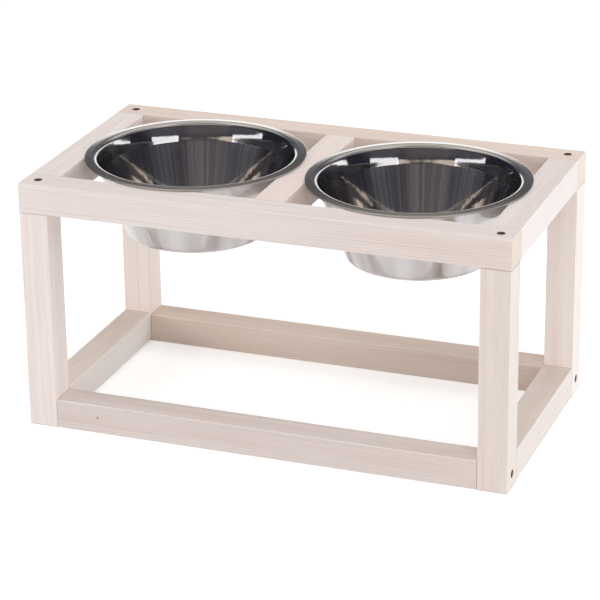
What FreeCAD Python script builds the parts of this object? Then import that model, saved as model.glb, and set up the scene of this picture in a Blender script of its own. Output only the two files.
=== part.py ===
import FreeCAD, Part
import math
import os
import Sketcher

# A raised feeding stand: thirteen square softwood battens make an open frame that carries two
# steel bowls by their rims. X runs along the stand, Y from front to back and Z up. The origin is
# on the floor under the middle of the stand. Every length is in millimetres.

SIZES = {
    # frame: its length and depth follow from the two openings that the bowls' necks drop into
    "frame_height": 288.0,
    "batten": 34.0,
    "opening_play_along": 1.6,
    "opening_play_across": 3.1,
    "edge_easing": 1.0,
    "side_rail_lift": 2.5,
    # screws and their holes
    "screw_length": 60.0,
    "screw_shank_diameter": 4.0,
    "screw_tip_length": 7.0,
    "screw_head_diameter": 8.0,
    "screw_head_height": 2.5,
    "screw_head_round": 0.9,
    "screw_slot_width": 1.3,
    "screw_slot_span": 4.6,
    "screw_slot_depth": 1.5,
    "screw_hole_clearance": 0.1,
    "screw_end_room": 2.0,
    "counterbore_room": 0.5,
    "counterbore_depth": 5.0,
    # dowels and their holes
    "dowel_diameter": 6.0,
    "dowel_length": 30.0,
    "dowel_chamfer": 0.8,
    "dowel_spacing": 18.0,
    "dowel_hole_clearance": 0.1,
    "dowel_end_room": 1.0,
    # bowls
    "rim_width": 12.1,
    "rim_height": 3.0,
    "rim_fall": 0.9,
    "rim_roll_width": 3.2,
    "lip_round": 6.0,
    "neck_diameter": 225.8,
    "crease_round": 12.0,
    "base_diameter": 162.0,
    "bowl_drop": 89.0,
    "corner_round": 8.0,
    "sheet_thickness": 1.0,
}

# The crease round a bowl's wall, as shares of the way from the base up to the rim and out to
# the neck, and the round of the rolled edge as a share of its height.
CREASE_HEIGHT_SHARE = 0.785
CREASE_REACH_SHARE = 0.84
ROLL_ROUND_SHARE = 0.43

# Places in the stand, as expressions of the sheet's sizes.
OPENING_LENGTH = "(Sizes.neck_diameter + 2 * Sizes.opening_play_along)"
INNER_DEPTH = "(Sizes.neck_diameter + 2 * Sizes.opening_play_across)"
FRAME_LENGTH = f"(2 * {OPENING_LENGTH} + 3 * Sizes.batten)"
INNER_LENGTH = f"({FRAME_LENGTH} - 2 * Sizes.batten)"
SIDE_X = f"({OPENING_LENGTH} + Sizes.batten)"
BOWL_X = f"({OPENING_LENGTH} / 2 + Sizes.batten / 2)"
RAIL_Y = f"({INNER_DEPTH} / 2 + Sizes.batten / 2)"
TOP_RAIL_Z = "(Sizes.frame_height - Sizes.batten / 2)"
LOW_RAIL_Z = "(Sizes.batten / 2)"
LOW_SIDE_RAIL_Z = "(Sizes.side_rail_lift + Sizes.batten / 2)"
LEG_LENGTH = "(Sizes.frame_height - Sizes.batten)"
HALF_BATTEN = "(Sizes.batten / 2)"

# Holes, as expressions.
COUNTERBORE = "(Sizes.screw_head_diameter + 2 * Sizes.counterbore_room)"
SCREW_HOLE = "(Sizes.screw_shank_diameter + 2 * Sizes.screw_hole_clearance)"
SCREW_BITE = "(Sizes.screw_length + Sizes.counterbore_depth - Sizes.batten + Sizes.screw_end_room)"
DOWEL_HOLE = "(Sizes.dowel_diameter + 2 * Sizes.dowel_hole_clearance)"
DOWEL_BITE = "(Sizes.dowel_length / 2 + Sizes.dowel_end_room)"

# The body plane square to each axis, and which way that plane faces along the axis.
PLANES = {"x": ("YZ_Plane", 1), "y": ("XZ_Plane", -1), "z": ("XY_Plane", 1)}
DIRECTIONS = {
    "x": FreeCAD.Vector(1, 0, 0),
    "y": FreeCAD.Vector(0, 1, 0),
    "z": FreeCAD.Vector(0, 0, 1),
}

# How a sketch constraint names the sketch's origin, and how close two values count as equal.
ORIGIN = (-1, 1)
MATCH = 1e-6

doc = FreeCAD.newDocument("feeding_stand")
sheet = doc.addObject("Spreadsheet::Sheet", "Sizes")


def fill_sheet():
    for row, (name, value) in enumerate(SIZES.items(), start=1):
        sheet.set(f"A{row}", name)
        sheet.set(f"B{row}", str(value))
        sheet.setAlias(f"B{row}", name)
    doc.recompute()


def value_of(expression):
    return float(sheet.evalExpression(expression))


def new_body(name):
    body = doc.addObject("PartDesign::Body", name)
    body.Label = name
    return body


def place(body, centre, rotation=FreeCAD.Rotation()):
    body.Placement = FreeCAD.Placement(FreeCAD.Vector(), rotation)
    for letter, expression in zip("xyz", centre):
        body.setExpression(f"Placement.Base.{letter}", expression)


def new_sketch(body, name, axis, offset=None):
    """Add a sketch on the body's plane square to axis, moved by expressions in that plane's frame."""
    role, _ = PLANES[axis]
    plane = next(feature for feature in body.Origin.OriginFeatures if feature.Role == role)
    sketch = body.newObject("Sketcher::SketchObject", name)
    sketch.AttachmentSupport = (plane, "")
    sketch.MapMode = "FlatFace"
    for letter, expression in (offset or {}).items():
        sketch.setExpression(f"AttachmentOffset.Base.{letter}", expression)
    return sketch


def bind(sketch, constraint, expression):
    index = sketch.addConstraint(constraint)
    sketch.setExpression(f"Constraints[{index}]", expression)


def draw_outline(sketch, points):
    """Draw a closed outline through points, each a pair of expressions that are zero or more."""
    corners = [FreeCAD.Vector(value_of(x), value_of(y), 0) for x, y in points]
    count = len(corners)
    for index in range(count):
        sketch.addGeometry(Part.LineSegment(corners[index], corners[(index + 1) % count]), False)
    for index, (x, y) in enumerate(points):
        following = (index + 1) % count
        sketch.addConstraint(Sketcher.Constraint("Coincident", index, 2, following, 1))
        for kind, axis_line, expression in (("DistanceX", -2, x), ("DistanceY", -1, y)):
            if expression == "0":
                sketch.addConstraint(Sketcher.Constraint("PointOnObject", index, 1, axis_line))
            else:
                constraint = Sketcher.Constraint(kind, *ORIGIN, index, 1, value_of(expression))
                bind(sketch, constraint, expression)


def draw_rectangle(sketch, width, height):
    """Draw a rectangle about the sketch's origin; the unit corners only set its starting shape."""
    corners = [FreeCAD.Vector(x, y, 0) for x, y in ((-1, -1), (1, -1), (1, 1), (-1, 1))]
    for index in range(4):
        sketch.addGeometry(Part.LineSegment(corners[index], corners[(index + 1) % 4]), False)
    for index in range(4):
        sketch.addConstraint(Sketcher.Constraint("Coincident", index, 2, (index + 1) % 4, 1))
    for index, kind in enumerate(("Horizontal", "Vertical", "Horizontal", "Vertical")):
        sketch.addConstraint(Sketcher.Constraint(kind, index))
    sketch.addConstraint(Sketcher.Constraint("Symmetric", 0, 1, 2, 1, *ORIGIN))
    bind(sketch, Sketcher.Constraint("DistanceX", 0, 1, 0, 2, value_of(width)), width)
    bind(sketch, Sketcher.Constraint("DistanceY", 1, 1, 1, 2, value_of(height)), height)


def draw_circle(sketch, diameter):
    sketch.addGeometry(Part.Circle(FreeCAD.Vector(), DIRECTIONS["z"], 1), False)
    sketch.addConstraint(Sketcher.Constraint("Coincident", 0, 3, *ORIGIN))
    bind(sketch, Sketcher.Constraint("Diameter", 0, value_of(diameter)), diameter)


def draw_circle_pair(sketch, diameter, spacing, across):
    """Draw two equal circles about the origin, apart along the sketch's x (across) or its y."""
    half = value_of(spacing) / 2
    step = FreeCAD.Vector(half, 0, 0) if across else FreeCAD.Vector(0, half, 0)
    for centre in (step.negative(), step):
        sketch.addGeometry(Part.Circle(centre, DIRECTIONS["z"], value_of(diameter) / 2), False)
    axis_line = -1 if across else -2
    kind = "DistanceX" if across else "DistanceY"
    sketch.addConstraint(Sketcher.Constraint("PointOnObject", 0, 3, axis_line))
    sketch.addConstraint(Sketcher.Constraint("Symmetric", 0, 3, 1, 3, *ORIGIN))
    sketch.addConstraint(Sketcher.Constraint("Equal", 0, 1))
    bind(sketch, Sketcher.Constraint(kind, 0, 3, 1, 3, value_of(spacing)), spacing)
    bind(sketch, Sketcher.Constraint("Diameter", 0, value_of(diameter)), diameter)


def pad(body, sketch, length):
    """Pad a sketch to both sides of its plane."""
    feature = body.newObject("PartDesign::Pad", sketch.Name + "_pad")
    feature.Profile = sketch
    feature.SideType = "Symmetric"
    feature.setExpression("Length", length)
    doc.recompute()
    return feature


def revolve(body, sketch):
    feature = body.newObject("PartDesign::Revolution", sketch.Name + "_turned")
    feature.Profile = sketch
    feature.ReferenceAxis = (sketch, ["V_Axis"])
    feature.Angle = 360
    doc.recompute()
    return feature


def round_edges(body, base, edges, radius, kind="Fillet"):
    """Fillet or chamfer the named edges of a body's last feature."""
    feature = body.newObject("PartDesign::" + kind, base.Name + "_edges")
    feature.Base = (base, edges)
    feature.setExpression("Radius" if kind == "Fillet" else "Size", radius)
    doc.recompute()
    return feature


def bore(body, axis, side, face, depth, draw, across="0", up="0"):
    """Cut what draw makes into the face that lies at distance face on one side of the body.

    across and up place the hole's centre along the sketch plane's own x and y.
    """
    _, facing = PLANES[axis]
    along_normal = side * facing > 0
    offset = {"x": across, "y": up, "z": face if along_normal else f"-{face}"}
    number = len(body.Group)
    sketch = new_sketch(body, f"{body.Name}_hole_{number}", axis, offset)
    draw(sketch)
    pocket = body.newObject("PartDesign::Pocket", sketch.Name + "_cut")
    pocket.Profile = sketch
    pocket.Reversed = not along_normal
    pocket.setExpression("Length", depth)
    return pocket


def screw_seat(body, axis, side, **where):
    """Cut a counterbored hole through a batten, with its mouth on one side."""
    bore(body, axis, side, HALF_BATTEN, "Sizes.counterbore_depth",
         lambda sketch: draw_circle(sketch, COUNTERBORE), **where)
    bore(body, axis, side, HALF_BATTEN, "Sizes.batten",
         lambda sketch: draw_circle(sketch, SCREW_HOLE), **where)


def screw_bite(body, axis, side, face, **where):
    """Cut the blind hole that a screw's end bites into."""
    bore(body, axis, side, face, SCREW_BITE, lambda sketch: draw_circle(sketch, SCREW_HOLE), **where)


def dowel_holes(body, side, face, across_pair, **where):
    """Cut two dowel holes along Y, beside each other or one above the other."""
    bore(body, "y", side, face, DOWEL_BITE,
         lambda sketch: draw_circle_pair(sketch, DOWEL_HOLE, "Sizes.dowel_spacing", across_pair),
         **where)


def runs_along(edge, axis):
    ends = edge.Vertexes[1].Point.sub(edge.Vertexes[0].Point)
    return abs(abs(ends.normalize().dot(DIRECTIONS[axis])) - 1) < MATCH


def make_batten(name, axis, length, centre, is_eased):
    """Make a square batten about its own centre, with the chosen long or short edges eased."""
    body = new_body(name)
    place(body, centre)
    section = new_sketch(body, name + "_section", axis)
    draw_rectangle(section, "Sizes.batten", "Sizes.batten")
    blank = pad(body, section, length)
    eased = [f"Edge{number}" for number, edge in enumerate(blank.Shape.Edges, start=1) if is_eased(edge)]
    round_edges(body, blank, eased, "Sizes.edge_easing")
    return body


def make_top_long_rail(name, side):
    """A front (side -1) or rear (side 1) top rail, screwed down into two legs.

    Its two inner edges stay sharp, because the cross rails end flush against them.
    """
    def is_eased(edge):
        on_inner_face = side * edge.CenterOfMass.y < -MATCH
        return not (runs_along(edge, "x") and on_inner_face)

    centre = ("0", RAIL_Y if side > 0 else "-" + RAIL_Y, TOP_RAIL_Z)
    body = make_batten(name, "x", FRAME_LENGTH, centre, is_eased)
    for across in (SIDE_X, "-" + SIDE_X):
        screw_seat(body, "z", 1, across=across)
    for across in (SIDE_X, "0", "-" + SIDE_X):
        dowel_holes(body, -side, HALF_BATTEN, True, across=across)
    return body


def make_top_cross_rail(name, x):
    """A top rail from front to back, dowelled between the two long rails."""
    body = make_batten(name, "y", INNER_DEPTH, (x, "0", TOP_RAIL_Z), lambda edge: runs_along(edge, "y"))
    for side in (1, -1):
        dowel_holes(body, side, INNER_DEPTH + " / 2", True)
    return body


def make_leg(name, side_x, side_y):
    """A leg, with a screw coming down into its top and another through its outer side."""
    x = SIDE_X if side_x > 0 else "-" + SIDE_X
    y = RAIL_Y if side_y > 0 else "-" + RAIL_Y
    half_length = LEG_LENGTH + " / 2"
    body = make_batten(name, "z", LEG_LENGTH, (x, y, half_length), lambda edge: runs_along(edge, "z"))
    screw_bite(body, "z", 1, half_length)
    screw_seat(body, "x", side_x, up=f"{LOW_RAIL_Z} - {half_length}")
    dowel_holes(body, -side_y, HALF_BATTEN, False, up=f"{LOW_SIDE_RAIL_Z} - {half_length}")
    return body


def make_low_long_rail(name, side):
    """A front or rear rail on the floor, held by a screw through each leg."""
    y = RAIL_Y if side > 0 else "-" + RAIL_Y
    body = make_batten(name, "x", INNER_LENGTH, ("0", y, LOW_RAIL_Z), lambda edge: runs_along(edge, "x"))
    for end in (1, -1):
        screw_bite(body, "x", end, INNER_LENGTH + " / 2")
    return body


def make_low_side_rail(name, x):
    """A side rail just off the floor, dowelled between a front leg and a rear one."""
    centre = (x, "0", LOW_SIDE_RAIL_Z)
    body = make_batten(name, "y", INNER_DEPTH, centre, lambda edge: runs_along(edge, "y"))
    for side in (1, -1):
        dowel_holes(body, side, INNER_DEPTH + " / 2", False)
    return body


def make_screw(name, tip, direction):
    """A pan head wood screw with a cross recess, from its tip at the given place."""
    body = new_body(name)
    place(body, tip, FreeCAD.Rotation(DIRECTIONS["z"], direction))
    outline = new_sketch(body, name + "_outline", "y")
    shank = "Sizes.screw_shank_diameter / 2"
    head = "Sizes.screw_head_diameter / 2"
    top = "Sizes.screw_length + Sizes.screw_head_height"
    draw_outline(outline, [
        ("0", "0"),
        (shank, "Sizes.screw_tip_length"),
        (shank, "Sizes.screw_length"),
        (head, "Sizes.screw_length"),
        (head, top),
        ("0", top),
    ])
    turned = revolve(body, outline)
    crown = ring_edges(turned, head, top)
    round_edges(body, turned, crown, "Sizes.screw_head_round")
    for width, height in (("slot_width", "slot_span"), ("slot_span", "slot_width")):
        bore(body, "z", 1, f"({top})", "Sizes.screw_slot_depth",
             lambda sketch: draw_rectangle(sketch, "Sizes.screw_" + width, "Sizes.screw_" + height))
    return body


def make_dowel(name, centre):
    """A round dowel along Y with chamfered ends."""
    body = new_body(name)
    place(body, centre)
    section = new_sketch(body, name + "_section", "y")
    draw_circle(section, "Sizes.dowel_diameter")
    blank = pad(body, section, "Sizes.dowel_length")
    rims = [f"Edge{number}" for number, edge in enumerate(blank.Shape.Edges, start=1)
            if isinstance(edge.Curve, Part.Circle)]
    round_edges(body, blank, rims, "Sizes.dowel_chamfer", "Chamfer")
    return body


def ring_edges(feature, radius, height):
    """Name the feature's round edges with this radius and height, both given as expressions."""
    wanted_radius = value_of(radius)
    wanted_height = value_of(height)
    names = []
    for number, edge in enumerate(feature.Shape.Edges, start=1):
        curve = edge.Curve
        if isinstance(curve, Part.Circle):
            same_radius = math.isclose(curve.Radius, wanted_radius, abs_tol=MATCH)
            same_height = math.isclose(curve.Center.z, wanted_height, abs_tol=MATCH)
            if same_radius and same_height:
                names.append(f"Edge{number}")
    return names


def make_bowl(name, x):
    """A pressed steel bowl: tapered wall, crease, steeper band, rounded lip and rolled edge.

    Its outline starts under the middle of the base. The rolled edge rests on the top rails.
    """
    sheet_metal = "Sizes.sheet_thickness"
    base = "(Sizes.base_diameter / 2)"
    neck = "(Sizes.neck_diameter / 2)"
    edge = f"({neck} + Sizes.rim_width)"
    roll = f"({edge} - Sizes.rim_roll_width)"
    seat = "Sizes.bowl_drop"
    top = "(Sizes.bowl_drop + Sizes.rim_height)"
    brim = f"({top} - Sizes.rim_fall)"
    underside = f"({top} - {sheet_metal})"
    roll_underside = f"({brim} - {sheet_metal})"

    crease = f"({base} + {CREASE_REACH_SHARE} * ({neck} - {base}))"
    crease_height = f"({CREASE_HEIGHT_SHARE} * {underside})"
    wall_slope = f"(({crease} - {base}) / {crease_height})"
    wall_slant = f"sqrt(1 + {wall_slope} ^ 2)"
    band_slope = f"(({neck} - {crease}) / ({underside} - {crease_height}))"
    band_slant = f"sqrt(1 + {band_slope} ^ 2)"
    inner_base = f"({base} + {sheet_metal} * ({wall_slope} - {wall_slant}))"
    inner_crease = f"({crease} - {sheet_metal} * {wall_slant})"
    inner_neck = f"({neck} + {sheet_metal} * ({band_slope} - {band_slant}))"

    body = new_body(name)
    place(body, (x, "0", "Sizes.frame_height - Sizes.bowl_drop"))
    outline = new_sketch(body, name + "_outline", "y")
    draw_outline(outline, [
        ("0", "0"),
        (base, "0"),
        (crease, crease_height),
        (neck, underside),
        (roll, roll_underside),
        (roll, seat),
        (edge, seat),
        (edge, brim),
        (inner_neck, top),
        (inner_crease, crease_height),
        (inner_base, sheet_metal),
        ("0", sheet_metal),
    ])
    feature = revolve(body, outline)
    rounds = [
        ("Sizes.corner_round", [(base, "0")]),
        (f"Sizes.corner_round - {sheet_metal}", [(inner_base, sheet_metal)]),
        ("Sizes.crease_round", [(crease, crease_height), (inner_crease, crease_height)]),
        (f"Sizes.lip_round - {sheet_metal}", [(neck, underside)]),
        ("Sizes.lip_round", [(inner_neck, top)]),
        (f"{ROLL_ROUND_SHARE} * ({brim} - {seat})", [(edge, seat), (edge, brim)]),
    ]
    for radius, rings in rounds:
        edges = [edge_name for ring in rings for edge_name in ring_edges(feature, *ring)]
        feature = round_edges(body, feature, edges, radius)
    return body


def make_frame():
    bodies = []
    for name, side in (("top_front_rail", -1), ("top_rear_rail", 1)):
        bodies.append(make_top_long_rail(name, side))
    for place_name, x in (("left", "-" + SIDE_X), ("centre", "0"), ("right", SIDE_X)):
        bodies.append(make_top_cross_rail(f"top_{place_name}_rail", x))
    for name_y, side_y in (("front", -1), ("rear", 1)):
        for name_x, side_x in (("left", -1), ("right", 1)):
            bodies.append(make_leg(f"{name_y}_{name_x}_leg", side_x, side_y))
    for name, side in (("bottom_front_rail", -1), ("bottom_rear_rail", 1)):
        bodies.append(make_low_long_rail(name, side))
    for name, x in (("bottom_left_rail", "-" + SIDE_X), ("bottom_right_rail", SIDE_X)):
        bodies.append(make_low_side_rail(name, x))
    return bodies


def make_screws():
    """One screw down into the top of each leg, and one through each leg into a bottom rail."""
    bodies = []
    sunk = "(Sizes.counterbore_depth + Sizes.screw_length)"
    for name_y, side_y in (("front", -1), ("rear", 1)):
        y = RAIL_Y if side_y > 0 else "-" + RAIL_Y
        for name_x, side_x in (("left", -1), ("right", 1)):
            x = SIDE_X if side_x > 0 else "-" + SIDE_X
            tip_x = f"{FRAME_LENGTH} / 2 - {sunk}"
            outward = DIRECTIONS["x"] * side_x
            tip_x = tip_x if side_x > 0 else f"-({tip_x})"
            corner = f"{name_y}_{name_x}"
            bodies.append(make_screw(f"{corner}_top_screw", (x, y, f"Sizes.frame_height - {sunk}"),
                                     DIRECTIONS["z"]))
            bodies.append(make_screw(f"{corner}_bottom_screw", (tip_x, y, LOW_RAIL_Z), outward))
    return bodies


def make_dowels():
    """Two dowels in each end of each cross rail, side by side on top and one above the other below."""
    bodies = []
    half_space = "Sizes.dowel_spacing / 2"
    joint_y = INNER_DEPTH + " / 2"
    rails = (
        ("top_left", "-" + SIDE_X, TOP_RAIL_Z, True),
        ("top_centre", "0", TOP_RAIL_Z, True),
        ("top_right", SIDE_X, TOP_RAIL_Z, True),
        ("bottom_left", "-" + SIDE_X, LOW_SIDE_RAIL_Z, False),
        ("bottom_right", SIDE_X, LOW_SIDE_RAIL_Z, False),
    )
    for rail, x, z, across in rails:
        for name_y, y in (("front", "-" + joint_y), ("rear", joint_y)):
            for number, sign in ((1, "-"), (2, "+")):
                step = f" {sign} {half_space}"
                centre = (x + step, y, z) if across else (x, y, z + step)
                bodies.append(make_dowel(f"{rail}_{name_y}_dowel_{number}", centre))
    return bodies


def check_model(bodies):
    """Stop if a feature failed, a cut removed nothing or a body isn't one valid solid."""
    for item in doc.Objects:
        if "Invalid" in item.State or "Error" in item.State:
            raise RuntimeError(f"{item.Name} failed")
        if item.TypeId == "PartDesign::Pocket":
            if not item.Shape.Volume < item.BaseFeature.Shape.Volume - MATCH:
                raise RuntimeError(f"{item.Name} cut nothing")
    for body in bodies:
        shape = body.Shape
        if shape.isNull() or not shape.isValid() or len(shape.Solids) != 1:
            raise RuntimeError(f"{body.Name} isn't one valid solid")


def write_parts(bodies):
    os.makedirs("parts", exist_ok=True)
    for body in bodies:
        body.Shape.exportStep(f"parts/{body.Label}.step")


fill_sheet()
parts = make_frame() + make_screws() + make_dowels()
parts.append(make_bowl("left_bowl", "-" + BOWL_X))
parts.append(make_bowl("right_bowl", BOWL_X))
doc.recompute()
check_model(parts)
write_parts(parts)
print(len(parts), "parts written")
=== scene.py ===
"""Looks for the raised feeding stand: whitewashed battens, polished steel bowls and plated screws."""

import math

import bmesh
import bpy
from mathutils import Matrix, Vector


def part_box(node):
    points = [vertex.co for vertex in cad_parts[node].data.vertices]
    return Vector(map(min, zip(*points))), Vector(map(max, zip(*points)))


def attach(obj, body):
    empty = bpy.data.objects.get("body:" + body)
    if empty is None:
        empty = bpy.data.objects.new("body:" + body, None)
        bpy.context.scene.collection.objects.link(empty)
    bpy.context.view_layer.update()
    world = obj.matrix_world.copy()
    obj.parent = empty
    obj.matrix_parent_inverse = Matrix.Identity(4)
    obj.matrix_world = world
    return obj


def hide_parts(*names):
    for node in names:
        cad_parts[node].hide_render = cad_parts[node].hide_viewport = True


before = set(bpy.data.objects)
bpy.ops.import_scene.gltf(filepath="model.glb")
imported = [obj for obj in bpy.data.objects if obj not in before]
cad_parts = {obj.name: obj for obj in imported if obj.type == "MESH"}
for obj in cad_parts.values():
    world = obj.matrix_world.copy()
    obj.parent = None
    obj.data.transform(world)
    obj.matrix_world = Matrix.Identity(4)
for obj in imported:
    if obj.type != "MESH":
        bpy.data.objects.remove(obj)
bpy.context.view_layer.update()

MM = 0.001
WHITE = (1, 1, 1, 1)

# Sizes shared with the CAD source, in metres
BATTEN = 34 * MM
COUNTERBORE_RADIUS = 4.5 * MM
BOWL_X = 131.5 * MM
BOWL_FLOOR_Z = 199 * MM


# Node helpers

def linear(colour):
    """Turns an 8-bit screen colour into the linear colour that a node socket takes."""
    def channel(value):
        share = value / 255
        return share / 12.92 if share <= 0.04045 else ((share + 0.055) / 1.055) ** 2.4
    red, green, blue = colour
    return (channel(red), channel(green), channel(blue), 1.0)


class Nodes:
    """Short calls that build one material's nodes. A number or a socket can be any input."""

    def __init__(self, tree):
        self.tree = tree
        self.tree.nodes.clear()

    def node(self, kind, **settings):
        made = self.tree.nodes.new(kind)
        for name, value in settings.items():
            setattr(made, name, value)
        return made

    def feed(self, socket, value):
        if isinstance(value, bpy.types.NodeSocket):
            self.tree.links.new(value, socket)
        elif value is not None:
            socket.default_value = value

    def math(self, operation, first, second=None, third=None, clamp=False):
        made = self.node("ShaderNodeMath", operation=operation, use_clamp=clamp)
        for socket, value in zip(made.inputs, (first, second, third)):
            self.feed(socket, value)
        return made.outputs[0]

    def total(self, first, *rest):
        result = first
        for value in rest:
            result = self.math("ADD", result, value)
        return result

    def between(self, share, low, high):
        """low where share is 0 and high where it is 1."""
        return self.math("MULTIPLY_ADD", share, high - low, low)

    def vector_math(self, operation, first, second=None):
        made = self.node("ShaderNodeVectorMath", operation=operation)
        self.feed(made.inputs[0], first)
        self.feed(made.inputs[1], second)
        plain_number = operation in ("LENGTH", "DOT_PRODUCT")
        return made.outputs["Value" if plain_number else "Vector"]

    def combine(self, x, y, z):
        made = self.node("ShaderNodeCombineXYZ")
        for socket, value in zip(made.inputs, (x, y, z)):
            self.feed(socket, value)
        return made.outputs[0]

    def split(self, vector):
        made = self.node("ShaderNodeSeparateXYZ")
        self.feed(made.inputs[0], vector)
        return made.outputs

    def noise_outputs(self, vector, detail, roughness=0.5, scale=1.0):
        made = self.node("ShaderNodeTexNoise")
        self.feed(made.inputs["Vector"], vector)
        made.inputs["Scale"].default_value = scale
        made.inputs["Detail"].default_value = detail
        made.inputs["Roughness"].default_value = roughness
        return made.outputs

    def noise(self, vector, detail, **settings):
        """One noise, as a number about 0.5."""
        return self.noise_outputs(vector, detail, **settings)["Fac"]

    def three_noises(self, vector, detail):
        """Three noises that don't follow each other, as numbers about 0.5."""
        return self.split(self.noise_outputs(vector, detail)["Color"])

    def ramp(self, value, stops):
        """Grey between stops, which are (position, grey) pairs."""
        made = self.node("ShaderNodeValToRGB")
        elements = made.color_ramp.elements
        while len(elements) < len(stops):
            elements.new(0.5)
        for element, (position, grey) in zip(elements, stops):
            element.position = position
            element.color = (grey, grey, grey, 1)
        self.feed(made.inputs[0], value)
        return made.outputs[0]

    def step(self, value, low, high):
        """A smooth step from 0 at low to 1 at high."""
        made = self.node("ShaderNodeMapRange", interpolation_type="SMOOTHSTEP")
        for name, number in (("Value", value), ("From Min", low), ("From Max", high)):
            self.feed(made.inputs[name], number)
        return made.outputs[0]

    def window(self, value, middle, reach, soft):
        """1 where value lies within reach of middle, falling smoothly to 0 over the soft edge."""
        away = self.math("ABSOLUTE", self.math("SUBTRACT", value, middle))
        return self.step(away, reach + soft, reach - soft)

    def mix(self, share, first, second, blend="MIX"):
        made = self.node("ShaderNodeMix", data_type="RGBA", blend_type=blend)
        self.feed(made.inputs["Factor"], share)
        self.feed(made.inputs["A"], first)
        self.feed(made.inputs["B"], second)
        return next(socket for socket in made.outputs if socket.type == "RGBA")

    def cover(self, colour, over, mask, strength):
        """The colour with another one laid over it, where the mask is 1, at the given strength."""
        return self.mix(self.math("MULTIPLY", mask, strength), colour, over)

    def shade(self, colour, amount):
        """The colour times a plain number, which darkens or lightens all its channels alike."""
        return self.mix(1.0, colour, self.combine(amount, amount, amount), "MULTIPLY")

    def bump(self, height, strength, distance):
        made = self.node("ShaderNodeBump")
        made.inputs["Strength"].default_value = strength
        made.inputs["Distance"].default_value = distance
        self.feed(made.inputs["Height"], height)
        return made.outputs[0]

    def principled(self, colour, roughness, normal, **constants):
        """A surface shader. Constants are named like their sockets, with _ for a space."""
        shader = self.node("ShaderNodeBsdfPrincipled")
        for name, value in constants.items():
            shader.inputs[name.replace("_", " ")].default_value = value
        self.feed(shader.inputs["Base Color"], colour)
        self.feed(shader.inputs["Roughness"], roughness)
        self.feed(shader.inputs["Normal"], normal)
        return shader

    def finish(self, socket, kind="ShaderNodeOutputMaterial"):
        """Ends the tree with its output."""
        self.feed(self.node(kind).inputs["Surface"], socket)


def new_material(name, nodes=Nodes, *details):
    """A material and the calls that build its nodes."""
    material = bpy.data.materials.new(name)
    material.use_nodes = True
    return material, nodes(material.node_tree, *details)


# Object helpers

def add_object(name, data):
    made = bpy.data.objects.new(name, data)
    bpy.context.scene.collection.objects.link(made)
    return made


def add_mesh(name, mesh):
    """A new object from a finished bmesh, which is freed."""
    data = bpy.data.meshes.new(name)
    mesh.to_mesh(data)
    mesh.free()
    return add_object(name, data)


# Wood

# Screen colours laid over a batten's own tint
# painted light: the whiter colour laid on the faces that look to the right, as if lit from that side
RIGHT_PAINTED_LIGHT = (240, 240, 241)
END_GRAIN_EARLY = (246, 239, 232)
END_GRAIN_LATE = (218, 200, 184)
PORE_BROWN = (176, 152, 138)
# painted highlight along the arrises
ARRIS_HIGHLIGHT = (247, 240, 236)
SEAM_BROWN = (132, 104, 88)
# painted shade on the walls of the screw holes
HOLE_SHADE = (122, 98, 82)
KNOT_HALO = (205, 176, 152)
KNOT_CORE = (128, 92, 66)

# Shares of the tint's red, green and blue
LATE_SHARES = (0.945, 0.895, 0.870)
CREAM_SHARES = (0.985, 0.965, 0.935)
WHITEST_SHARE = 1.02

# How often the marks repeat in a metre along and across the grain
BENDS = (3.5, 9.0)
FIBRES = (22.0, 1300.0)
PORES = (150.0, 1500.0)
WASH_CLOUDS = (5.0, 60.0)
WASH_STREAKS = (2.2, 240.0)

# One year from its pale early wood to its dark late wood and back
YEAR_STOPS = ((0.0, 0.05), (0.50, 0.16), (0.80, 0.85), (0.90, 1.0), (1.0, 0.05))

RING_BEND = 9 * MM
UNEVEN_YEARS_PER_METRE = 110.0

# How far apart two battens' seeds lie in the noise, in metres, and how far two years do
SEED_STEP = 1.7
YEAR_STEP = 3.7

# Where an arris's painted highlight, a dark seam and the painted shade on a hole's wall begin and end
ARRIS_WIDTH = (1.6 * MM, 0.3 * MM)
SEAM_WIDTH = (0.9 * MM, 0.3 * MM)
HOLE_WALL = (0.25 * MM, 0.05 * MM)

# How squarely a face looks along an axis before it counts as turned that way
FACING = (0.6, 0.9)


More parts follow.
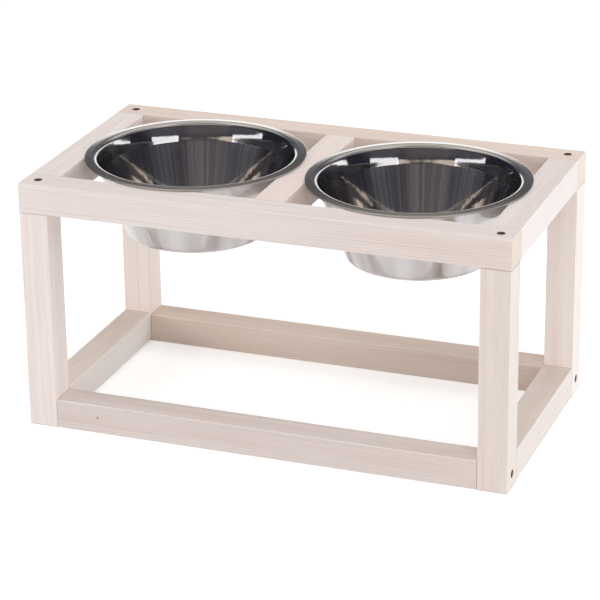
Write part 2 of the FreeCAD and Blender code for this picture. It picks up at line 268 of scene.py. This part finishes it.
class WoodNodes(Nodes):
    """The nodes of one batten, with its grain, its faces and its places at hand.

    low and high are the batten's box.
    """

    def __init__(self, tree, batten, low, high):
        super().__init__(tree)
        grain = batten["grain"]
        self.batten = batten
        self.seed = batten["seed"]
        self.half_length = (high[grain] - low[grain]) / 2
        coordinates = self.node("ShaderNodeTexCoord")
        self.place = coordinates.outputs["Object"]
        self.centred = self.vector_math("SUBTRACT", self.place, tuple((low + high) / 2))
        parts = self.split(self.centred)
        self.along = parts[grain]
        self.side, self.rise = [parts[axis] for axis in range(3) if axis != grain]
        self.shifted = self.math("ADD", self.along, self.seed * SEED_STEP)
        facing = self.split(coordinates.outputs["Normal"])
        self.end_face = self.step(self.math("ABSOLUTE", facing[grain]), *FACING)
        self.top_face = self.step(facing[2], *FACING)
        self.right_face = self.step(facing[0], *FACING)

    def stretched(self, per_metre, across_per_metre):
        """Places for a texture that is drawn out along the grain."""
        return self.combine(self.math("MULTIPLY", self.shifted, per_metre),
                            self.math("MULTIPLY", self.side, across_per_metre),
                            self.math("MULTIPLY", self.rise, across_per_metre))

    def bent(self, distance, bend, pith):
        """A distance across the grain, measured from a pith line that wanders slowly."""
        wander = self.math("MULTIPLY_ADD", bend, RING_BEND, -RING_BEND / 2)
        return self.total(distance, wander, -pith * MM)

    def growth_rings(self, bend):
        """How late the wood is in its year, 0 to 1, and how strongly that year shows."""
        pith_side, pith_rise = self.batten["pith"]
        reach = self.vector_math("LENGTH", self.combine(self.bent(self.side, bend[0], pith_side),
                                                        self.bent(self.rise, bend[1], pith_rise),
                                                        0.0))
        uneven = self.combine(self.math("MULTIPLY", reach, UNEVEN_YEARS_PER_METRE), self.seed, 0.0)
        years = self.math("MULTIPLY_ADD", self.noise(uneven, detail=1.0), 2.0,
                          self.math("DIVIDE", reach, self.batten["ring_gap"] * MM))
        late = self.ramp(self.math("FRACT", years), YEAR_STOPS)
        year = self.combine(self.math("MULTIPLY", self.math("FLOOR", years), YEAR_STEP),
                            self.seed, 1.0)
        year_tone = self.noise(year, detail=0.0)
        ring_share = self.math("MULTIPLY", late,
                               self.math("MULTIPLY_ADD", year_tone, 1.5, 0.05), clamp=True)
        return late, ring_share

    def tinted(self, shares):
        """The batten's tint with a share of each of its channels."""
        return linear([min(255, value * share) for value, share in zip(self.batten["tint"], shares)])

    def washed_rings(self, ring_share, far_share, wash, bend):
        """Growth rings under a wash that lies thicker in some places."""
        early = linear(self.batten["tint"])
        band = self.tinted(LATE_SHARES)
        contrast = self.between(far_share, self.batten["contrast"], self.batten["far_contrast"])
        colour = self.cover(early, band, ring_share, contrast)
        colour = self.cover(colour, self.tinted([WHITEST_SHARE] * 3), self.step(wash, 0.38, 0.66), 0.5)
        colour = self.cover(colour, self.tinted(CREAM_SHARES), self.step(bend[2], 0.45, 0.75), 0.5)
        streak = self.noise(self.stretched(*WASH_STREAKS), detail=2.0)
        return self.cover(colour, band, self.step(streak, 0.56, 0.70), 0.45)

    def right_light_and_end_grain(self, colour, late):
        """Painted light that whitens the faces to the right, and rings across the end grain."""
        # painted light: the faces that look to the right are whitened as if lit from that side
        colour = self.cover(colour, linear(RIGHT_PAINTED_LIGHT), self.right_face, self.batten["right_wash"])
        end_tone = self.mix(late, linear(END_GRAIN_EARLY), linear(END_GRAIN_LATE))
        return self.cover(colour, end_tone, self.end_face, 0.85)

    def arris_highlights_and_seams(self, colour):
        """Painted highlights along the arrises, and a dark seam where a batten's end meets its
        neighbour.
        """
        half = BATTEN / 2
        near_edge = self.math("MINIMUM", self.math("ABSOLUTE", self.side),
                              self.math("ABSOLUTE", self.rise))
        arris = self.step(near_edge, half - ARRIS_WIDTH[0], half - ARRIS_WIDTH[1])
        # painted highlight: the arrises are laid paler as if they catch the light
        colour = self.cover(colour, linear(ARRIS_HIGHLIGHT), arris, 0.45)
        near_end = self.step(self.math("ABSOLUTE", self.along),
                             self.half_length - SEAM_WIDTH[0], self.half_length - SEAM_WIDTH[1])
        seam = self.math("MULTIPLY", near_end, self.math("SUBTRACT", 1.0, self.end_face))
        return self.cover(colour, linear(SEAM_BROWN), seam, self.batten["seam"])

    def pin_knot(self, colour, spot):
        """A small brown knot. The spot is its place from the batten's middle and its radius, in mm."""
        x, y, z, radius = spot
        middle = (x * MM, y * MM, z * MM)
        away = self.vector_math("LENGTH", self.vector_math("SUBTRACT", self.centred, middle))
        halo = self.step(away, radius * 3.0 * MM, radius * MM)
        colour = self.cover(colour, linear(KNOT_HALO), halo, 0.35)
        core = self.step(away, radius * 1.1 * MM, radius * 0.6 * MM)
        return self.cover(colour, linear(KNOT_CORE), core, 0.8)

    def shaded_hole_wall(self, colour, axis, middle):
        """Painted shade on the wall of the hole round a screw, in a dark brown."""
        away = self.vector_math("SUBTRACT", self.place, tuple(middle))
        square_to_axis = tuple(0.0 if index == axis else 1.0 for index in range(3))
        reach = self.vector_math("LENGTH", self.vector_math("MULTIPLY", away, square_to_axis))
        share = self.step(reach, COUNTERBORE_RADIUS + HOLE_WALL[0], COUNTERBORE_RADIUS + HOLE_WALL[1])
        return self.mix(share, colour, linear(HOLE_SHADE))


def screw_lines(low, high):
    """The axis and the middle of each screw that passes through the box."""
    lines = []
    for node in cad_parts:
        if not node.endswith("_screw"):
            continue
        start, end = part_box(node)
        if all(start[axis] < high[axis] and end[axis] > low[axis] for axis in range(3)):
            length_axis = max(range(3), key=lambda axis: end[axis] - start[axis])
            lines.append((length_axis, (start + end) / 2))
    return lines


def wood_material(name, batten, low, high):
    """Whitewashed softwood whose rings run round a pith line beside the batten.

    The wash changes towards the far end of the grain axis, most of all on the sides.
    """
    material, n = new_material(name, WoodNodes, batten, low, high)
    bend = n.three_noises(n.stretched(*BENDS), detail=1.0)
    late, ring_share = n.growth_rings(bend)
    fibre = n.noise(n.stretched(*FIBRES), detail=3.0, roughness=0.6)
    pore = n.step(n.noise(n.stretched(*PORES), detail=1.0), 0.70, 0.80)
    wash = n.noise(n.stretched(*WASH_CLOUDS), detail=4.0, roughness=0.55)
    far_share = n.math("MULTIPLY", n.step(n.along, -n.half_length, n.half_length),
                       n.math("MULTIPLY_ADD", n.top_face, -0.7, 1.0))

    colour = n.washed_rings(ring_share, far_share, wash, bend)
    colour = n.right_light_and_end_grain(colour, late)
    colour = n.shade(colour, n.math("MULTIPLY_ADD", fibre, 0.09, 0.955))
    colour = n.cover(colour, linear(PORE_BROWN), pore, 0.12)
    colour = n.mix(1.0, colour, n.mix(far_share, WHITE, linear(batten["far_wash"])), "MULTIPLY")
    for spot in batten["knots"]:
        colour = n.pin_knot(colour, spot)
    # painted highlights on the arrises, and dark seams at the batten ends
    colour = n.arris_highlights_and_seams(colour)
    # painted shade in the holes round the screws
    for axis, middle in screw_lines(low, high):
        colour = n.shaded_hole_wall(colour, axis, middle)

    relief = n.total(n.math("MULTIPLY", fibre, 0.5), n.math("MULTIPLY", late, 0.35),
                     n.math("MULTIPLY", pore, -0.5))
    shader = n.principled(colour, n.math("MULTIPLY_ADD", wash, 0.22, 0.50),
                          n.bump(relief, 0.35, 0.12 * MM), Specular_IOR_Level=0.35)
    n.finish(shader.outputs[0])
    return material


# Steel

# Share of the soft haze over the mirror, on the bowl's inside and outside
HAZE_INSIDE = 0.18
HAZE_OUTSIDE = 0.68

CREASE_HEIGHT = 70.6 * MM
CREASE_SOFT = 3 * MM
RINGS_PER_METRE = 900.0

# Screen colours between which each part of the bowl varies
FLAT_TONES = ((183, 180, 178), (192, 189, 187))
INNER_TONES = ((172, 170, 172), (205, 202, 199))
OUTER_TONES = ((190, 186, 186), (206, 203, 204))


class SteelNodes(Nodes):
    """The nodes of a turned bowl, with its walls and the marks round it at hand."""

    def __init__(self, tree):
        super().__init__(tree)
        coordinates = self.node("ShaderNodeTexCoord")
        x, y, self.height = self.split(coordinates.outputs["Object"])
        angle = self.math("ARCTAN2", y, x)
        self.turn = self.combine(self.math("COSINE", angle), self.math("SINE", angle), 0.0)
        self.radius = self.vector_math("LENGTH", self.combine(x, y, 0.0))
        outward = self.vector_math("DOT_PRODUCT", coordinates.outputs["Normal"], self.turn)
        self.inside = self.step(outward, 0.6, 0.2)
        self.inner_wall = self.step(outward, -0.3, -0.8)
        self.outer_wall = self.step(outward, 0.3, 0.8)
        self.below_crease = self.step(self.height, CREASE_HEIGHT + CREASE_SOFT,
                                      CREASE_HEIGHT - CREASE_SOFT)
        self.streak = self.round_noise(26.0, 2.5, detail=4.0)
        self.wide = self.round_noise(3.0, 14.0, detail=2.0)

    def round_noise(self, per_turn, per_metre, detail):
        """Noise round the bowl, the finer the more per turn and per metre of height."""
        spread = self.vector_math("MULTIPLY", self.turn, (per_turn, per_turn, 0.0))
        lifted = self.combine(0.0, 0.0, self.math("MULTIPLY", self.height, per_metre))
        return self.noise(self.vector_math("ADD", spread, lifted), detail=detail)

    def tone(self):
        """Upright streaks inside below the crease, a slow sheen outside, rings on the flats."""
        ring = self.noise(self.combine(self.math("MULTIPLY", self.radius, RINGS_PER_METRE), 0.0, 0.0),
                          detail=2.0)
        streaked = self.math("MULTIPLY", self.step(self.streak, 0.3, 0.7), self.below_crease)
        sheen = self.step(self.round_noise(4.0, 0.0, detail=1.0), 0.35, 0.65)
        flat, inner, outer = [
            self.mix(share, linear(darker), linear(lighter))
            for share, (darker, lighter) in (
                (self.step(ring, 0.3, 0.7), FLAT_TONES),
                (streaked, INNER_TONES),
                (sheen, OUTER_TONES),
            )
        ]
        return self.mix(self.outer_wall, self.mix(self.inner_wall, flat, inner), outer)

    def relief(self):
        """Streaks below the crease and shallow dents, strongest on the walls."""
        dent = self.round_noise(14.0, 60.0, detail=1.0)
        streaks = self.math("MULTIPLY", self.math("MULTIPLY", self.streak, 0.5), self.below_crease)
        walls = self.math("MULTIPLY_ADD", self.math("ADD", self.inner_wall, self.outer_wall), 0.7, 0.3)
        height = self.math("MULTIPLY", self.total(streaks, dent, self.wide), walls)
        return self.bump(height, 0.14, 0.5 * MM)


def steel_material(name):
    """Polished stainless steel whose fine marks run round the bowl and smear light up and down."""
    material, n = new_material(name, SteelNodes)
    tone = n.tone()
    relief = n.relief()
    tangent = n.node("ShaderNodeTangent", direction_type="RADIAL", axis="Z")
    blend = n.node("ShaderNodeMixShader")
    n.feed(blend.inputs[0], n.between(n.inside, HAZE_OUTSIDE, HAZE_INSIDE))
    mirror_roughness = n.math("MULTIPLY_ADD", n.step(n.streak, 0.35, 0.75), 0.03, 0.03)
    haze_roughness = n.math("MULTIPLY_ADD", n.wide, 0.10, 0.24)
    lobes = ((mirror_roughness, 0.5), (haze_roughness, 0.8))
    for socket, (roughness, anisotropic) in zip((blend.inputs[1], blend.inputs[2]), lobes):
        lobe = n.principled(tone, roughness, relief, Metallic=1.0, Anisotropic=anisotropic,
                            Anisotropic_Rotation=0.25)
        n.feed(lobe.inputs["Tangent"], tangent.outputs[0])
        n.feed(socket, lobe.outputs[0])
    n.finish(blend.outputs[0])
    return material


# Screws and dowels

# dark patches: partly the plating's own tone, partly painted shade; bright patches: painted glint
PLATING_DARK = (112, 104, 98)
PLATING_GLINT = (236, 232, 226)
BEECH_TONES = ((222, 188, 150), (203, 163, 122))
BEECH_FLECK = (158, 112, 76)


def plated_material(name):
    """Zinc-plated screw steel in dark and bright patches: the bright ones are a painted glint, the
    dark ones partly the plating's own tone and partly painted shade of the recess.
    """
    material, n = new_material(name)
    place = n.node("ShaderNodeTexCoord").outputs["Object"]
    patch_noise = n.noise(place, detail=4.0, roughness=0.6, scale=900.0)
    grime = n.noise(place, detail=2.0, scale=260.0)
    tone = n.mix(n.step(patch_noise, 0.40, 0.65), linear(PLATING_DARK), linear(PLATING_GLINT))
    shader = n.principled(tone, n.math("MULTIPLY_ADD", grime, 0.4, 0.25),
                          n.bump(patch_noise, 0.3, 0.05 * MM), Metallic=0.5)
    n.finish(shader.outputs[0])
    return material


def dowel_material(name):
    """Bare beech with short flecks. The dowels lie along Y."""
    material, n = new_material(name)
    place = n.node("ShaderNodeTexCoord").outputs["Object"]
    fleck = n.noise(n.vector_math("MULTIPLY", place, (1600.0, 160.0, 1600.0)), detail=2.0)
    grain = n.noise(n.vector_math("MULTIPLY", place, (700.0, 12.0, 700.0)), detail=3.0)
    early, late = BEECH_TONES
    tone = n.mix(n.step(grain, 0.3, 0.7), linear(early), linear(late))
    tone = n.cover(tone, linear(BEECH_FLECK), n.step(fleck, 0.62, 0.72), 0.5)
    shader = n.principled(tone, n.math("MULTIPLY_ADD", grain, 0.2, 0.5),
                          n.bump(n.math("SUBTRACT", grain, fleck), 0.3, 0.1 * MM))
    n.finish(shader.outputs[0])
    return material


# Bowls

BOWL_SEGMENTS = 192
LONGEST_STEP_MM = 3.0
AXIS_RADIUS = 1e-6


def round_corner(before, corner, after, radius, pieces):
    """Points of the arc that rounds a corner, each a (radius, height) pair."""
    into = (Vector(before) - Vector(corner)).normalized()
    away = (Vector(after) - Vector(corner)).normalized()
    half_angle = into.angle(away) / 2
    reach = radius / math.tan(half_angle)
    middle = Vector(corner) + (into + away).normalized() * (radius / math.sin(half_angle))
    start = Vector(corner) + into * reach - middle
    turn = math.pi - 2 * half_angle
    if into.x * away.y - into.y * away.x > 0:
        turn = -turn
    points = []
    for index in range(pieces + 1):
        angle = turn * index / pieces
        c = math.cos(angle)
        s = math.sin(angle)
        points.append((middle.x + start.x * c - start.y * s, middle.y + start.x * s + start.y * c))
    return points


def rounded_outline(corners):
    """The outline through corners given as (radius, height, rounding radius, arc pieces)."""
    points = []
    for index, (r, z, rounding, pieces) in enumerate(corners):
        if not rounding:
            points.append((r, z))
            continue
        before = corners[index - 1][:2]
        after = corners[(index + 1) % len(corners)][:2]
        points.extend(round_corner(before, (r, z), after, rounding, pieces))
    return points


def fill_long_steps(points, longest):
    """Adds points on long straight runs, so that the shading there stays even."""
    filled = [points[0]]
    for start, end in zip(points, points[1:]):
        run = math.dist(start, end)
        steps = max(1, math.ceil(run / longest))
        for index in range(1, steps + 1):
            share = index / steps
            filled.append((start[0] + (end[0] - start[0]) * share,
                           start[1] + (end[1] - start[1]) * share))
    return filled


def bowl_outline():
    """The bowl's section, from the middle of its underside round to the middle of its floor.

    The wall widens evenly up to a crease, a steeper band goes on from there to the rounded lip,
    and the rim falls a little towards its rolled edge. Corners are given in mm.
    """
    underside = [(0.0, 0.0, 0, 0), (79.9, 0.0, 8.0, 10)]
    outer_wall = [(106.6, 70.4, 1.5, 5), (108.6, 79.3, 100.0, 4)]
    rim_underside = [(112.3, 90.95, 5.0, 10), (122.3, 90.05, 0.4, 3)]
    rolled_edge = [(122.3, 89.0, 0.4, 3), (125.0, 89.0, 1.02, 8), (125.0, 90.75, 1.02, 8)]
    lip = [(111.6, 92.05, 6.0, 16)]
    inner_wall = [(107.65, 79.6, 100.0, 4), (105.6, CREASE_HEIGHT / MM, 2.0, 6)]
    floor = [(79.2, 1.0, 7.0, 10), (0.0, 1.0, 0, 0)]
    corners = underside + outer_wall + rim_underside + rolled_edge + lip + inner_wall + floor
    points = fill_long_steps(rounded_outline(corners), LONGEST_STEP_MM)
    return [(r * MM, z * MM) for r, z in points]


def lathe(name, outline, segments):
    """A smooth mesh made by turning an outline about the Z axis."""
    mesh = bmesh.new()
    rings = []
    for r, z in outline:
        if r < AXIS_RADIUS:
            rings.append([mesh.verts.new((0.0, 0.0, z))])
            continue
        ring = []
        for index in range(segments):
            angle = 2 * math.pi * index / segments
            ring.append(mesh.verts.new((r * math.cos(angle), r * math.sin(angle), z)))
        rings.append(ring)
    for lower, upper in zip(rings, rings[1:]):
        for index in range(segments):
            following = (index + 1) % segments
            corners = [lower[index % len(lower)], lower[following % len(lower)],
                       upper[following % len(upper)], upper[index % len(upper)]]
            mesh.faces.new(dict.fromkeys(corners))
    bmesh.ops.recalc_face_normals(mesh, faces=mesh.faces)
    made = add_mesh(name, mesh)
    made.data.polygons.foreach_set("use_smooth", [True] * len(made.data.polygons))
    return made


def add_bowl(node, x, steel):
    made = lathe(node + "_shell", bowl_outline(), BOWL_SEGMENTS)
    made.location = (x, 0.0, BOWL_FLOOR_Z)
    made.data.materials.append(steel)
    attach(made, node)
    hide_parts(node)


# Battens

def batten(grain, pith, ring_gap, seed, tint, **details):
    """How one batten looks.

    grain is its long axis, 0, 1 or 2. The pith's place across the grain from the batten's middle,
    the width of a year's ring and the knots are in mm. contrast is how strongly the rings show,
    and seam how strongly the dark seams at the ends do. far_contrast and far_wash hold at the far
    end: the rings' strength, and the colour that the tint is multiplied by. The right-side share
    sets how much painted light whitens the faces that look to the right, as if lit from that side.
    """
    look = {"grain": grain, "pith": pith, "ring_gap": ring_gap, "seed": seed, "tint": tint,
            "contrast": 1.3, "seam": 0.55, "knots": (), "far_wash": (255, 255, 255),
            "right_wash": 0.0}
    look.update(details)
    look.setdefault("far_contrast", look["contrast"])
    return look


# Some battens carry painted light on the faces that look to the right, by their right-side share
BATTENS = {
    "top_front_rail": batten(0, (110, -105), 1.7, 1, (241, 233, 232), seam=0.0, contrast=0.7,
                             far_contrast=1.6, far_wash=(248, 244, 241)),
    "top_rear_rail": batten(0, (-95, 80), 1.6, 2, (240, 225, 216), seam=0.0),
    "top_left_rail": batten(1, (70, -94), 1.6, 3, (246, 238, 235),
                            knots=((2, -17, 17, 0.6),)),
    "top_centre_rail": batten(1, (-78, -90), 1.7, 4, (248, 236, 232)),
    "top_right_rail": batten(1, (60, -95), 1.4, 5, (241, 233, 231), right_wash=0.4),
    "front_left_leg": batten(2, (75, 90), 1.3, 6, (247, 239, 236)),
    "front_right_leg": batten(2, (-90, 70), 1.35, 7, (236, 226, 221), right_wash=0.25),
    "rear_left_leg": batten(2, (80, -70), 1.4, 8, (253, 244, 240)),
    "rear_right_leg": batten(2, (-95, 60), 1.4, 9, (253, 244, 240), right_wash=0.35),
    "bottom_front_rail": batten(0, (85, -70), 1.8, 10, (229, 218, 215),
                                knots=((-196, -17, 2, 1.2),)),
    "bottom_rear_rail": batten(0, (80, 70), 1.9, 11, (233, 217, 206)),
    "bottom_left_rail": batten(1, (70, 70), 1.7, 12, (243, 232, 223), right_wash=0.5),
    "bottom_right_rail": batten(1, (90, -50), 1.8, 13, (234, 223, 215), right_wash=0.45),
}


def dress_node(node, material):
    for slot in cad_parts[node].material_slots:
        slot.material = material


def dress_battens():
    for node, look in BATTENS.items():
        low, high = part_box(node)
        dress_node(node, wood_material(node + "_wood", look, low, high))


def dress_fasteners():
    plated = plated_material("screw_plating")
    beech = dowel_material("bare_beech")
    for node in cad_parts:
        if node.endswith("_screw"):
            dress_node(node, plated)
        elif "_dowel_" in node:
            dress_node(node, beech)


# Studio

STAND_MIDDLE = (0.0, 0.0, 0.15)
FLOOR_SIZE = 14.0
FLOOR_PAINT = (0.85, 0.85, 0.85, 1)
FLOOR_GLOW = 0.44
FLOOR_FADE = (0.10, 0.30)
WORLD_LIGHT = 0.30
WORLD_COLOUR = (1.0, 0.975, 0.95, 1)
ROOM_RADIUS = 6.9
ROOM_DARK = (0.030, 0.031, 0.048)
WARM = (1.0, 0.90, 0.78)
CREAM = (1.0, 0.95, 0.87)
AMBER = (1.0, 0.86, 0.70)
ROSE = (1.0, 0.90, 0.85)

# Lamps: bearing from the stand's front towards its right and height, both in degrees, and power
# in watts. They are square and stand equally far from the stand.
LAMP_DISTANCE = 2.6
LAMP_SIDE = 1.4
LAMPS = {
    "left_lamp": (-70, 12, 34),
    "right_lamp": (99, 12, 22.5),
    "front_lamp": (35, 12, 15.5),
    "top_lamp": (30, 65, 18.7),
    "rear_lamp": (180, 40, 17),
}


def light_box(bearing, half_width, height, half_height, strength, soft=1.5, colour=(1, 1, 1)):
    """A bright patch of the room. All but its strength and colour is in degrees."""
    return {"bearing": bearing, "half_width": half_width, "height": height,
            "half_height": half_height, "strength": strength, "soft": soft, "colour": colour}


LIGHT_BOXES = (
    light_box(60, 17, 9.3, 2.3, 2.3, soft=0.8),
    light_box(-44, 20, 9.6, 1.9, 2.3, soft=0.8),
    light_box(9, 36, 8.4, 0.8, 1.5, soft=0.7, colour=AMBER),
    light_box(60, 24, 19, 5, 0.09, soft=8),
    light_box(-42, 26, 19, 5, 0.12, soft=8),
    light_box(121, 13, 5.6, 3.0, 2.4, soft=1.2),
    light_box(180, 44, 5, 9, 1.7, soft=4),
    light_box(180, 60, 17, 5, 0.14, soft=5),
    light_box(180, 60, 34, 10, 0.16, soft=6, colour=WARM),
    light_box(-165, 50, 50, 12, 0.8, soft=9, colour=CREAM),
    light_box(0, 200, 90, 30, 0.9, soft=26, colour=CREAM),
    light_box(92, 34, 66, 12, 0.9, soft=9, colour=CREAM),
    light_box(-82, 40, 64, 12, 0.7, soft=9, colour=CREAM),
    light_box(8, 26, 25, 14, 0.14, soft=6, colour=ROSE),
    light_box(115, 40, 40, 8, 0.35, soft=4),
    light_box(24, 52, 43.5, 2.4, 2.2, soft=2.0, colour=AMBER),
)


def seen_share(n):
    """1 for camera, glossy and transmission rays, 0 for the rest."""
    path = n.node("ShaderNodeLightPath")
    seen = n.math("ADD", path.outputs["Is Camera Ray"], path.outputs["Is Glossy Ray"])
    return n.math("ADD", seen, path.outputs["Is Transmission Ray"], clamp=True)


def floor_material():
    """A white floor that keeps a soft shadow near the stand and stays white far from it.

    The fade is in shares of the floor's width.
    """
    material, n = new_material("studio_floor")
    paint = n.node("ShaderNodeBsdfDiffuse")
    paint.inputs["Color"].default_value = FLOOR_PAINT
    glow = n.node("ShaderNodeEmission")
    glow.inputs["Color"].default_value = WHITE
    place = n.node("ShaderNodeTexCoord")
    far = n.step(n.vector_math("LENGTH", place.outputs["Object"]), *FLOOR_FADE)
    strength = n.between(far, FLOOR_GLOW, 1.0)
    n.feed(glow.inputs["Strength"], n.math("MULTIPLY", seen_share(n), strength))
    both = n.node("ShaderNodeAddShader")
    n.feed(both.inputs[0], paint.outputs[0])
    n.feed(both.inputs[1], glow.outputs[0])
    n.finish(both.outputs[0])
    return material


def build_floor():
    mesh = bmesh.new()
    bmesh.ops.create_grid(mesh, x_segments=1, y_segments=1, size=0.5)
    made = add_mesh("floor", mesh)
    made.matrix_world = Matrix.Diagonal((FLOOR_SIZE, FLOOR_SIZE, 1.0, 1.0))
    made.data.materials.append(floor_material())


def build_world():
    world = bpy.data.worlds.new("studio")
    bpy.context.scene.world = world
    world.use_nodes = True
    n = Nodes(world.node_tree)
    seen = seen_share(n)
    background = n.node("ShaderNodeBackground")
    n.feed(background.inputs["Color"], n.mix(seen, WORLD_COLOUR, WHITE))
    n.feed(background.inputs["Strength"], n.between(seen, WORLD_LIGHT, 1.0))
    n.finish(background.outputs[0], "ShaderNodeOutputWorld")


def aimed(place, target):
    """The matrix of a thing at place whose local -Z points at target."""
    direction = Vector(target) - Vector(place)
    return Matrix.Translation(place) @ direction.to_track_quat("-Z", "Y").to_matrix().to_4x4()


def area_lamp(name, bearing, height, power):
    """A soft square lamp that lights the stand but isn't seen in reflections."""
    level = LAMP_DISTANCE * math.cos(math.radians(height))
    place = Vector((level * math.sin(math.radians(bearing)),
                    -level * math.cos(math.radians(bearing)),
                    LAMP_DISTANCE * math.sin(math.radians(height)))) + Vector(STAND_MIDDLE)
    lamp = bpy.data.lights.new(name, "AREA")
    lamp.shape = "SQUARE"
    lamp.size = LAMP_SIDE
    lamp.energy = power
    made = add_object(name, lamp)
    made.matrix_world = aimed(place, STAND_MIDDLE)
    made.visible_glossy = False


def room_material(name):
    """The dim room round the studio, with its bright light boxes, as the metal reflects it.

    Directions are in degrees: the bearing from the stand's front towards its right, and the
    height above the floor's edge.
    """
    material, n = new_material(name)
    place = n.node("ShaderNodeTexCoord")
    x, y, z = n.split(n.vector_math("NORMALIZE", place.outputs["Object"]))
    bearing = n.math("DEGREES", n.math("ARCTAN2", x, n.math("MULTIPLY", y, -1.0)))
    height = n.math("DEGREES", n.math("ARCSINE", z))
    colour = n.combine(*ROOM_DARK)
    for box in LIGHT_BOXES:
        turned = n.math("WRAP", n.math("SUBTRACT", bearing, box["bearing"]), 180.0, -180.0)
        share = n.math("MULTIPLY", n.window(turned, 0.0, box["half_width"], box["soft"]),
                       n.window(height, box["height"], box["half_height"], box["soft"]))
        glow = n.combine(*[channel * box["strength"] for channel in box["colour"]])
        colour = n.mix(1.0, colour, n.shade(glow, share), "ADD")
    shader = n.node("ShaderNodeEmission")
    n.feed(shader.inputs["Color"], colour)
    n.finish(shader.outputs[0])
    return material


def build_room():
    """A wide half globe that only reflections see."""
    mesh = bmesh.new()
    bmesh.ops.create_uvsphere(mesh, u_segments=48, v_segments=24, radius=ROOM_RADIUS)
    below = [vertex for vertex in mesh.verts if vertex.co.z < -0.01]
    bmesh.ops.delete(mesh, geom=below, context="VERTS")
    room = add_mesh("studio_room", mesh)
    room.data.materials.append(room_material("studio_room"))
    for kind in ("camera", "diffuse", "shadow", "transmission", "volume_scatter"):
        setattr(room, "visible_" + kind, False)


def build_studio():
    build_floor()
    build_world()
    build_room()
    for name, (bearing, height, power) in LAMPS.items():
        area_lamp(name, bearing, height, power)


# Camera: angles in degrees, place in metres, lens and sensor in mm
CAMERA_PLACE = (0.9402, -2.5177, 1.2135)
CAMERA_AZIMUTH = 20.6512
CAMERA_ELEVATION = 21.9694
CAMERA_ROLL = -0.7399
CAMERA_LENS = 154.06
CAMERA_SENSOR = 36.0
CAMERA_CLIP = (0.1, 60.0)


def camera_turn():
    """The camera's rotation, from its azimuth, elevation and roll."""
    azimuth = math.radians(CAMERA_AZIMUTH)
    elevation = math.radians(CAMERA_ELEVATION)
    roll = math.radians(CAMERA_ROLL)
    back = Vector((math.sin(azimuth) * math.cos(elevation),
                   -math.cos(azimuth) * math.cos(elevation),
                   math.sin(elevation)))
    level = Vector((0, 0, 1)).cross(back).normalized()
    upright = back.cross(level)
    right = level * math.cos(roll) + upright * math.sin(roll)
    up = -level * math.sin(roll) + upright * math.cos(roll)
    return Matrix((right, up, back)).transposed().to_4x4()


def build_camera():
    """The photograph's viewpoint, found by matching the frame's corners."""
    data = bpy.data.cameras.new("photo_camera")
    data.sensor_width = CAMERA_SENSOR
    data.lens = CAMERA_LENS
    data.clip_start, data.clip_end = CAMERA_CLIP
    camera = add_object("photo_camera", data)
    camera.matrix_world = Matrix.Translation(CAMERA_PLACE) @ camera_turn()
    bpy.context.scene.camera = camera


def main():
    dress_battens()
    steel = steel_material("polished_steel")
    add_bowl("left_bowl", -BOWL_X, steel)
    add_bowl("right_bowl", BOWL_X, steel)
    dress_fasteners()
    build_studio()
    build_camera()
    bpy.context.scene.view_settings.view_transform = "Standard"


main()
